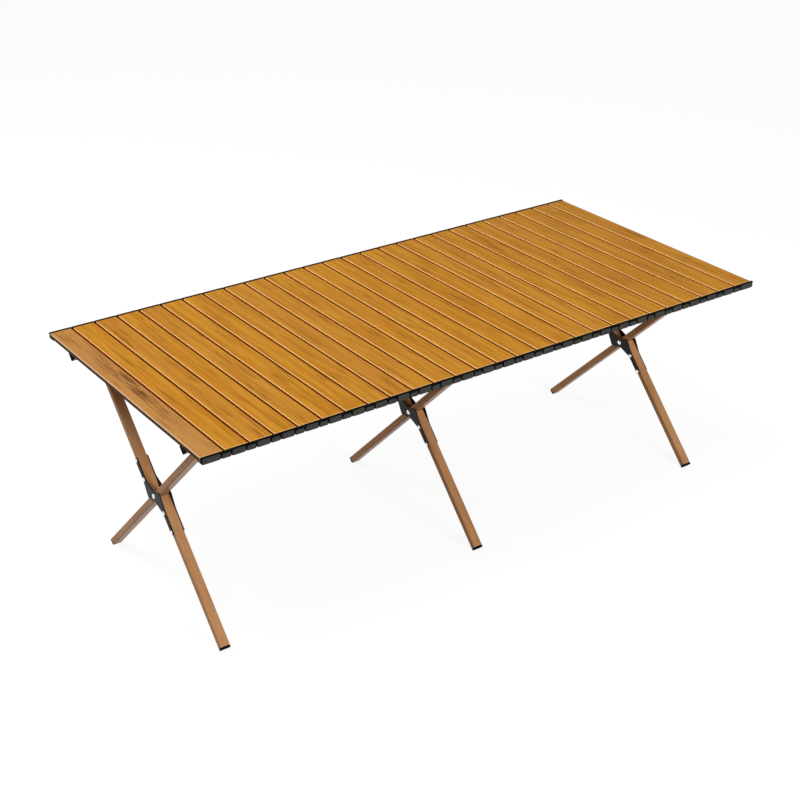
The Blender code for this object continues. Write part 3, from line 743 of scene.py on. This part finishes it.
# %% Sizes of the caps
CAP_PROUD = 0.0052
CAP_BOTTOM = -0.0120
FLANGE = {"top": -0.0001, "bottom": -0.0030, "inner": 0.0003, "outer": 0.0049, "radius": 0.0006}
BLOCK = {"top": -0.0024, "bottom": CAP_BOTTOM, "inner": -0.009, "outer": 0.0045, "radius": 0.0024}
BLOCK_FACE = {"top": -0.0012, "bottom": -0.0117, "inner": 0.0030, "outer": CAP_PROUD, "radius": 0.0029}
LINK = {"top": -0.0042, "bottom": CAP_BOTTOM, "inner": 0.0006, "outer": 0.0044, "radius": 0.0022}
LINK_FACE = {"top": -0.0034, "bottom": -0.0116, "inner": 0.0029, "outer": CAP_PROUD, "radius": 0.0026}
RISER = {"top": -0.0010, "bottom": -0.0100, "inner": 0.0009, "outer": 0.0041, "radius": 0.0003}
BLOCK_HALF = 0.0125
LINK_HALF = 0.0089
FACE_INSET = 0.0010
RISER_INSET = 0.0028
END_BLOCK_INSET = 0.0005
END_FLANGE_INSET = 0.0002
HINGE_DROP = 0.0016
EAR_RADIUS = 0.00135
EAR_ROOM = 0.00185
OUTER_EAR = (0.00275, 0.0046)
OUTER_ROOT = 0.0010
INNER_EAR = (0.0003, 0.00245)
INNER_ROOT = 0.0003
ROOT_SHRINK = 0.0001
ROOT_RADIUS = 0.0002
PIN_RADIUS = 0.0007
PIN_REACH = (0.0006, 0.0044)
NEARLY_ROUND = 0.999
CAP_BEVEL = 0.00030


def round_kind(radius, reach):
    """Heights and reach of a round bar on the hinge line."""
    return {"top": radius - HINGE_DROP, "bottom": -radius - HINGE_DROP, "inner": reach[0], "outer": reach[1],
            "radius": radius * NEARLY_ROUND}


def root_kind(reach):
    """The square root of an ear, a hair narrower than the ear itself."""
    return {**round_kind(EAR_RADIUS, (reach[0] + ROOT_SHRINK, reach[1] - ROOT_SHRINK)), "radius": ROOT_RADIUS}


def bar_values(low, high, kind):
    """Tree inputs of a bar between two x places, with the kind's own heights and reach."""
    return {"Width": high - low, "Height": kind["top"] - kind["bottom"], "Radius": kind["radius"],
            "Inner": kind["inner"], "Outer": kind["outer"],
            "Middle": ((low + high) / 2, 0.0, (kind["top"] + kind["bottom"]) / 2)}


def cap_bars(number):
    """Black bars as painted shade and charcoal faces of a slat's caps; end slats have no link or ear on their
    free side.
    """
    linked_left = number > 0
    linked_right = number < SLAT_COUNT - 1
    low = PITCH / 2 - BLOCK_HALF if linked_left else SLAT_LEFT + END_BLOCK_INSET
    high = PITCH / 2 + BLOCK_HALF if linked_right else SLAT_RIGHT - END_BLOCK_INSET
    flange_low = EAR_ROOM if linked_left else SLAT_LEFT + END_FLANGE_INSET
    flange_high = PITCH - EAR_ROOM if linked_right else SLAT_RIGHT - END_FLANGE_INSET
    # The black bars are painted shade: every part of the cap but its proud front faces.
    black = [(flange_low, flange_high, FLANGE), (low, high, BLOCK)]
    charcoal = [(low + FACE_INSET, high - FACE_INSET, BLOCK_FACE)]
    if linked_left:
        black += [(-LINK_HALF, LINK_HALF, LINK), (EAR_ROOM, LINK_HALF - RISER_INSET, RISER),
                  (-EAR_RADIUS, EAR_RADIUS, round_kind(EAR_RADIUS, OUTER_EAR)),
                  (0.0, EAR_ROOM + OUTER_ROOT, root_kind(OUTER_EAR))]
        charcoal.append((FACE_INSET - LINK_HALF, LINK_HALF - FACE_INSET, LINK_FACE))
    if linked_right:
        black += [(PITCH - EAR_RADIUS, PITCH + EAR_RADIUS, round_kind(EAR_RADIUS, INNER_EAR)),
                  (PITCH - EAR_ROOM - INNER_ROOT, PITCH, root_kind(INNER_EAR))]
    return {"cap_rims_in_painted_shade": (black, black_nylon_and_painted_shade), "cap_blocks": (charcoal, nylon)}


print("bars on a middle slat", {name: len(bars) for name, (bars, _) in cap_bars(5).items()})

# %% Make the caps and the hinge pins
def joined(meshes):
    """One mesh of several, each dropped once it is in."""
    whole = bmesh.new()
    for mesh in meshes:
        whole.from_mesh(mesh)
        bpy.data.meshes.remove(mesh)
    result = bpy.data.meshes.new("joined")
    whole.to_mesh(result)
    whole.free()
    return result


for number in range(SLAT_COUNT):
    node = f"slat_{number + 1:02d}"
    for name, (bars, material) in cap_bars(number).items():
        grown = [grow(end_pair, {**row_values(number), **bar_values(*bar)},
                      min(CAP_BEVEL, bar[2]["radius"] / 2)) for bar in bars]
        add_piece(f"{name}_{number + 1:02d}", joined(grown), node, [node], material)
    if number < SLAT_COUNT - 1:
        pin = bar_values(PITCH - PIN_RADIUS, PITCH + PIN_RADIUS, round_kind(PIN_RADIUS, PIN_REACH))
        mesh = grow(end_pair, {**row_values(number), **pin})
        add_piece(f"hinge_pins_{number + 1:02d}", mesh, node, [node], zinc)
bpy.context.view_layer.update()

# %% [markdown]
# ## How the legs cross
#
# The through leg runs in one piece from the back foot to the front rail. The other leg is split in two
# halves, one above and one below the through leg, so that all of it folds flat in one plane. The angles
# follow from where the rails and the feet are, with a little trigonometry in the plane across the table.

# %% The crossing
TUBE_WIDTH = 0.018
TUBE_DEPTH = 0.013
TUBE_WALL = 0.0012
TUBE_RADIUS = 0.0020
RAIL_SIZE = 0.016
FOLD_CLEARANCE = 0.0005
FIT_GAP = 0.0003
RAIL_HALF_SPAN = 0.2055
FOOT_HALF_SPAN = 0.2040
FOOT_CAP = 0.0040
FOOT_FLAT_DROP = 0.0015
SPLIT_OFFSET = 2 * (TUBE_DEPTH + FOLD_CLEARANCE)
LEG_SETS = [(number, Matrix.Translation((x, 0.0, 0.0))) for number, x in ((1, -0.542), (2, 0.0), (3, 0.542))]
RAIL_HALF_DIAGONAL = (RAIL_SIZE / 2 - TUBE_RADIUS) * math.sqrt(2) + TUBE_RADIUS
RAIL_HEIGHT = SLAT_TOP - SLAT_DEPTH - FIT_GAP - RAIL_HALF_DIAGONAL

span = RAIL_HALF_SPAN + FOOT_HALF_SPAN
rise = RAIL_HEIGHT + FOOT_FLAT_DROP
through_angle = math.atan2(rise, span) - math.asin(TUBE_DEPTH / 2 / math.hypot(span, rise))
split_angle = math.atan2(rise, span) + math.asin((SPLIT_OFFSET - TUBE_DEPTH / 2) / math.hypot(span, rise))
through_way = Vector((-math.cos(through_angle), math.sin(through_angle)))
split_way = Vector((math.cos(split_angle), math.sin(split_angle)))
front_rail_at = Vector((-RAIL_HALF_SPAN, RAIL_HEIGHT))
back_rail_at = Vector((RAIL_HALF_SPAN, RAIL_HEIGHT))
middle_line = back_rail_at + Vector((-split_way.y, split_way.x)) * SPLIT_OFFSET / 2
down = (middle_line - front_rail_at).cross(split_way) / through_way.cross(split_way)
pivot = front_rail_at + through_way * down
PIVOT_PLACE = Vector((0.0, pivot.x, pivot.y))
UP_TO_FRONT_RAIL = (front_rail_at - pivot).dot(through_way)
UP_TO_BACK_RAIL = (back_rail_at - pivot).dot(split_way)
DOWN_TO_BACK_FOOT = (Vector((FOOT_HALF_SPAN, -FOOT_FLAT_DROP)) - pivot).dot(through_way)
DOWN_TO_FRONT_FOOT = (Vector((-FOOT_HALF_SPAN, -FOOT_FLAT_DROP)) - pivot).dot(split_way)
THROUGH = Matrix.Translation(PIVOT_PLACE) @ Matrix.Rotation(math.pi / 2 - through_angle, 4, "X")
SPLIT = Matrix.Translation(PIVOT_PLACE) @ Matrix.Rotation(split_angle - math.pi / 2, 4, "X")
print("pivot", PIVOT_PLACE, "angles", math.degrees(through_angle), math.degrees(split_angle))

# %% [markdown]
# ## Tubes, rails and plugs
#
# A drawn tube has the same section all along, with rounded corners and a thin wall. Its outline and its
# hollow are two loops of one flat curve, and the curve's own bevel rounds the cut ends. The feet are plugs
# that are trimmed flat where they stand, which is a straight cut with a plane.

# %% Prism helpers
CORNER_STEPS = 6
TUBE_RIM = 0.00025
TUBE_SHIFT = 3.7
WELD = 1e-6


def reworked(mesh, change):
    """The mesh after a change to its faces, with all of them turned outwards."""
    whole = bmesh.new()
    whole.from_mesh(mesh)
    change(whole)
    bmesh.ops.recalc_face_normals(whole, faces=whole.faces)
    whole.to_mesh(mesh)
    whole.free()
    return mesh


def weld(whole):
    bmesh.ops.remove_doubles(whole, verts=whole.verts, dist=WELD)


def rounded_rectangle(width, height, radius, middle=(0.0, 0.0)):
    """Anticlockwise outline of a rectangle with round corners."""
    points = []
    for side_x, side_y, start in ((1, 1, 0), (-1, 1, 90), (-1, -1, 180), (1, -1, 270)):
        for step in range(CORNER_STEPS + 1):
            turn = math.radians(start + 90 * step / CORNER_STEPS)
            points.append((middle[0] + side_x * (width / 2 - radius) + radius * math.cos(turn),
                           middle[1] + side_y * (height / 2 - radius) + radius * math.sin(turn)))
    return points


def prism(loops, low, high, bevel):
    """Solid of a flat outline between two heights, with rounded rims; later loops are hollows."""
    curve = bpy.data.curves.new("outline", "CURVE")
    curve.dimensions = "2D"
    curve.fill_mode = "BOTH"
    curve.extrude = (high - low) / 2 - bevel
    curve.bevel_depth = bevel
    curve.bevel_resolution = 2
    curve.offset = -bevel
    for number, points in enumerate(loops):
        spline = curve.splines.new("POLY")
        spline.points.add(len(points) - 1)
        for point, (a, b) in zip(spline.points, points if number == 0 else points[::-1]):
            point.co = (a, b, 0.0, 1.0)
        spline.use_cyclic_u = True
    mesh = reworked(plain_mesh(placed("outline", curve)), weld)
    mesh.transform(Matrix.Translation((0.0, 0.0, (low + high) / 2)))
    return mesh


def tube(width, depth, low, high, offset, seed):
    """Hollow tube along Z whose points carry across, along and seed for the drawn grain."""
    outer = rounded_rectangle(width, depth, TUBE_RADIUS, (0.0, offset))
    hollow = rounded_rectangle(width - 2 * TUBE_WALL, depth - 2 * TUBE_WALL, TUBE_RADIUS - TUBE_WALL,
                               (0.0, offset))
    mesh = prism([outer, hollow], low, high, TUBE_RIM)
    along = mesh.attributes.new("along_tube", "FLOAT_VECTOR", "POINT")
    for point, vertex in zip(along.data, mesh.vertices):
        point.vector = (vertex.co.x + vertex.co.y, vertex.co.z, seed * TUBE_SHIFT)
    return mesh


print("tube corners have", CORNER_STEPS, "steps")

# %% Legs
LEGS = {
    "through_leg": (THROUGH, "through_frame", 0.0, DOWN_TO_BACK_FOOT + FOOT_CAP + FIT_GAP,
                    UP_TO_FRONT_RAIL - RAIL_SIZE / 2 - FIT_GAP),
    "upper_leg": (SPLIT, "split_frame", SPLIT_OFFSET / 2, TUBE_DEPTH / 2 + FOLD_CLEARANCE,
                  UP_TO_BACK_RAIL - RAIL_SIZE / 2 - FIT_GAP),
    "lower_leg": (SPLIT, "split_frame", -SPLIT_OFFSET / 2, DOWN_TO_FRONT_FOOT + FOOT_CAP + FIT_GAP,
                  -TUBE_DEPTH / 2 - FOLD_CLEARANCE),
}
for kind, (frame_place, body, offset, low, high) in LEGS.items():
    for number, shift in LEG_SETS:
        mesh = tube(TUBE_WIDTH, TUBE_DEPTH, low, high, offset, number + len(kind))
        mesh.transform(shift @ frame_place)
        add_piece(f"{kind}_tube_{number}", mesh, body, [f"{kind}_{number}"], enamel)
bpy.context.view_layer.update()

# %% Rails
RAIL_LENGTH = TOP_LENGTH - 0.020
ALONG_X = Matrix(((0, 0, 1, 0), (1, 0, 0, 0), (0, 1, 0, 0), (0, 0, 0, 1)))
RAILS = {"front_rail": (THROUGH, "through_frame", 0.0, UP_TO_FRONT_RAIL),
         "back_rail": (SPLIT, "split_frame", SPLIT_OFFSET / 2, UP_TO_BACK_RAIL)}
PLUG_CAP = 0.0025
PLUG_RIM = 0.0006
SPIGOT = 0.012
SPIGOT_RADIUS = 0.0008
SPIGOT_RIM = 0.0002


def inside(outer):
    """Size of what fits into a tube of this outer size."""
    return outer - 2 * TUBE_WALL - 2 * FIT_GAP


for kind, (frame_place, body, offset, height) in RAILS.items():
    seat = frame_place @ Matrix.Translation((0.0, offset, height)) @ ALONG_X
    mesh = tube(RAIL_SIZE, RAIL_SIZE, -RAIL_LENGTH / 2, RAIL_LENGTH / 2, 0.0, len(kind))
    mesh.transform(seat)
    add_piece(f"{kind}_tube", mesh, body, [kind], enamel)
    for side, word in ((-1, "left"), (1, "right")):
        face = RAIL_LENGTH / 2 + FIT_GAP
        low, high = sorted((side * face, side * (face + PLUG_CAP)))
        cap = prism([rounded_rectangle(RAIL_SIZE, RAIL_SIZE, TUBE_RADIUS)], low, high, PLUG_RIM)
        low, high = sorted((side * (face + FIT_GAP), side * (face - SPIGOT)))
        inner = inside(RAIL_SIZE)
        stub = prism([rounded_rectangle(inner, inner, SPIGOT_RADIUS)], low, high, SPIGOT_RIM)
        mesh = joined([cap, stub])
        mesh.transform(seat)
        add_piece(f"{kind}_end_plug_{word}", mesh, body, [f"{kind}_plug_{word}"],
                  black_nylon_and_painted_shade)
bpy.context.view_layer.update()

# %% Foot plugs
FOOT_RIM = 0.0005


def trim_at_floor(whole):
    """Cut away what lies below the floor and close the cut."""
    cut = bmesh.ops.bisect_plane(whole, geom=whole.verts[:] + whole.edges[:] + whole.faces[:],
                                 plane_co=(0.0, 0.0, 0.0), plane_no=(0.0, 0.0, 1.0), clear_inner=True)
    rim = [item for item in cut["geom_cut"] if isinstance(item, bmesh.types.BMEdge)]
    bmesh.ops.contextual_create(whole, geom=rim)


FEET = {"back_foot": (THROUGH, "through_frame", 0.0, DOWN_TO_BACK_FOOT),
        "front_foot": (SPLIT, "split_frame", -SPLIT_OFFSET / 2, DOWN_TO_FRONT_FOOT)}
for kind, (frame_place, body, offset, end) in FEET.items():
    for number, shift in LEG_SETS:
        outline = rounded_rectangle(TUBE_WIDTH, TUBE_DEPTH, TUBE_RADIUS, (0.0, offset))
        cap = prism([outline], end, end + FOOT_CAP, FOOT_RIM)
        cap.transform(shift @ frame_place)
        outline = rounded_rectangle(inside(TUBE_WIDTH), inside(TUBE_DEPTH), SPIGOT_RADIUS, (0.0, offset))
        stub = prism([outline], end + FOOT_CAP - FIT_GAP, end + FOOT_CAP + SPIGOT, SPIGOT_RIM)
        stub.transform(shift @ frame_place)
        add_piece(f"{kind}_plug_{number}", joined([reworked(cap, trim_at_floor), stub]), body,
                  [f"{kind}_{number}"], black_nylon_and_painted_shade)
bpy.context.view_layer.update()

# %% [markdown]
# ## Pivot plates, rivets and pins
#
# Two flat steel plates hold the halves of the split leg together past the through leg. Each is a wide middle
# round the pivot with a narrow arm along each half, so its outline looks like a Z. It is drawn as corners
# with a radius each. The rivets sit in a row by a rule, so a geometry tree places them, and each pin is
# turned from a profile.

# %% Plate outline
PLATE_THICKNESS = 0.0022
PLATE_BEVEL = 0.0005
ARM_HALF_WIDTH = 0.0045
ARM_TIP_RADIUS = 0.95 * ARM_HALF_WIDTH
SHOULDER_MARGIN = 0.0050
SHOULDER_TOP = 0.0100
SHOULDER_BASE = 0.0040
SHOULDER_RADIUS = 0.0025
WAIST = (0.0040, -0.0090, 0.0060)
RIVET_NEAR = 0.0360
RIVET_FAR = 0.0725
PIN_HOLE = 0.0033
ARC_STEPS = 7


def round_corners(corners):
    """Outline through corners given as (a, b, radius), each rounded by its own radius."""
    points = []
    for index, (a, b, radius) in enumerate(corners):
        here = Vector((a, b))
        if radius == 0.0:
            points.append((a, b))
            continue
        before = (Vector(corners[index - 1][:2]) - here).normalized()
        after = (Vector(corners[(index + 1) % len(corners)][:2]) - here).normalized()
        half_angle = before.angle(after) / 2
        centre = here + (before + after).normalized() * radius / math.sin(half_angle)
        start = here + before * radius / math.tan(half_angle) - centre
        sweep = start.angle_signed(here + after * radius / math.tan(half_angle) - centre)
        points += [tuple(centre + Matrix.Rotation(-sweep * step / ARC_STEPS, 2) @ start)
                   for step in range(ARC_STEPS + 1)]
    return points


def plate_corners():
    """Half of the Z clockwise, then the same half turned by half a turn."""
    axis = SPLIT_OFFSET / 2
    inner = axis - ARM_HALF_WIDTH
    outer = axis + ARM_HALF_WIDTH
    tip = RIVET_FAR + ARM_HALF_WIDTH
    shoulder = axis + TUBE_DEPTH / 2 + SHOULDER_MARGIN
    half = [(inner, RIVET_NEAR, 0.0), (inner, tip, ARM_TIP_RADIUS), (outer, tip, ARM_TIP_RADIUS),
            (outer, RIVET_NEAR, 0.0), (shoulder, SHOULDER_TOP, SHOULDER_RADIUS),
            (shoulder, SHOULDER_BASE, SHOULDER_RADIUS), WAIST]
    return half + [(-a, -b, radius) for a, b, radius in half]


plate_loop = round_corners(plate_corners())[::-1]
pin_hole = [(PIN_HOLE * math.cos(turn), PIN_HOLE * math.sin(turn))
            for turn in (math.radians(15 * step) for step in range(24))]
print("plate points", len(plate_loop))

# %% Make the plates
for side, word in ((-1, "left"), (1, "right")):
    face = TUBE_WIDTH / 2 + FIT_GAP
    low, high = sorted((side * face, side * (face + PLATE_THICKNESS)))
    for number, shift in LEG_SETS:
        mesh = prism([plate_loop, pin_hole], low, high, PLATE_BEVEL)
        mesh.transform(shift @ SPLIT @ ALONG_X)
        add_piece(f"{word}_z_plate_{number}", mesh, "split_frame", [f"{word}_pivot_plate_{number}"],
                  black_paint)
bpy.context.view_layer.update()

# %% Rivet tree
RIVET_RADIUS = 0.0037
RIVET_HEIGHT = 0.0014
rivet_rows, given = geometry_tree("rivet_rows", {"Near": 0.03, "Far": 0.07, "Offset": 0.013, "Face": 0.01,
                                                 "Radius": 0.003, "Height": 0.001})
dome = add_node(rivet_rows, "GeometryNodeMeshUVSphere", {"Segments": 16, "Rings": 10, "Radius": 1.0})
head = add_node(rivet_rows, "GeometryNodeTransform", {
    "Geometry": dome.outputs["Mesh"], "Rotation": (0.0, math.pi / 2, 0.0),
    "Scale": vector(rivet_rows, X=given["Radius"], Y=given["Radius"], Z=given["Height"])})
spread = calc(rivet_rows, "SUBTRACT", given["Far"], given["Near"])
arms = add_node(rivet_rows, "GeometryNodeJoinGeometry")
for turn in (0.0, math.pi):
    for side in (-1.0, 1.0):
        start = vector(rivet_rows, X=calc(rivet_rows, "MULTIPLY", given["Face"], side), Y=given["Offset"],
                       Z=given["Near"])
        line = add_node(rivet_rows, "GeometryNodeMeshLine",
                        {"Count": 2, "Start Location": start, "Offset": vector(rivet_rows, Z=spread)})
        turned_line = add_node(rivet_rows, "GeometryNodeTransform",
                               {"Geometry": line.outputs[0], "Rotation": (turn, 0.0, 0.0)})
        rivet_rows.links.new(turned_line.outputs[0], arms.inputs[0])
rivets = add_node(rivet_rows, "GeometryNodeInstanceOnPoints",
                  {"Points": arms.outputs[0], "Instance": head.outputs[0]})
finish_tree(rivet_rows, rivets.outputs[0])

# %% Make the rivets
for number, shift in LEG_SETS:
    mesh = grow(rivet_rows, {"Near": RIVET_NEAR, "Far": RIVET_FAR, "Offset": SPLIT_OFFSET / 2,
                             "Face": TUBE_WIDTH / 2 + FIT_GAP + PLATE_THICKNESS, "Radius": RIVET_RADIUS,
                             "Height": RIVET_HEIGHT})
    mesh.transform(shift @ SPLIT)
    add_piece(f"rivets_{number}", mesh, "split_frame", [f"left_pivot_plate_{number}"], zinc)
print("rivets made, faces in a set", len(mesh.polygons))

# %% Pivot pins
PIN_HEAD_RADIUS = 0.0046
PIN_HEAD_HEIGHT = 0.0018
PIN_SHAFT = 0.0030
TURN_STEPS = 28


def turned(profile):
    """Body of revolution about X from (radius, x) points, run from +X to -X."""
    mesh = bpy.data.meshes.new("profile")
    mesh.from_pydata([(radius, 0.0, along) for radius, along in profile],
                     [(index, index + 1) for index in range(len(profile) - 1)], [])
    obj = placed("profile", mesh)
    screw = obj.modifiers.new("turn", "SCREW")
    screw.axis = "Z"
    screw.steps = screw.render_steps = TURN_STEPS
    screw.use_merge_vertices = True
    screw.merge_threshold = 0.00001
    solid = reworked(plain_mesh(obj), weld)
    solid.transform(ALONG_X)
    return solid


seat = TUBE_WIDTH / 2 + FIT_GAP + PLATE_THICKNESS + FIT_GAP
dome = [(PIN_HEAD_RADIUS * math.sin(math.radians(a)), seat + PIN_HEAD_HEIGHT * math.cos(math.radians(a)))
        for a in range(0, 91, 15)]
half_pin = dome + [(PIN_SHAFT, seat)]
pin_profile = half_pin + [(radius, -along) for radius, along in reversed(half_pin)]
for number, shift in LEG_SETS:
    mesh = turned(pin_profile)
    mesh.transform(shift @ THROUGH)
    add_piece(f"pivot_rivet_{number}", mesh, "through_frame", [f"pivot_pin_{number}"], zinc)
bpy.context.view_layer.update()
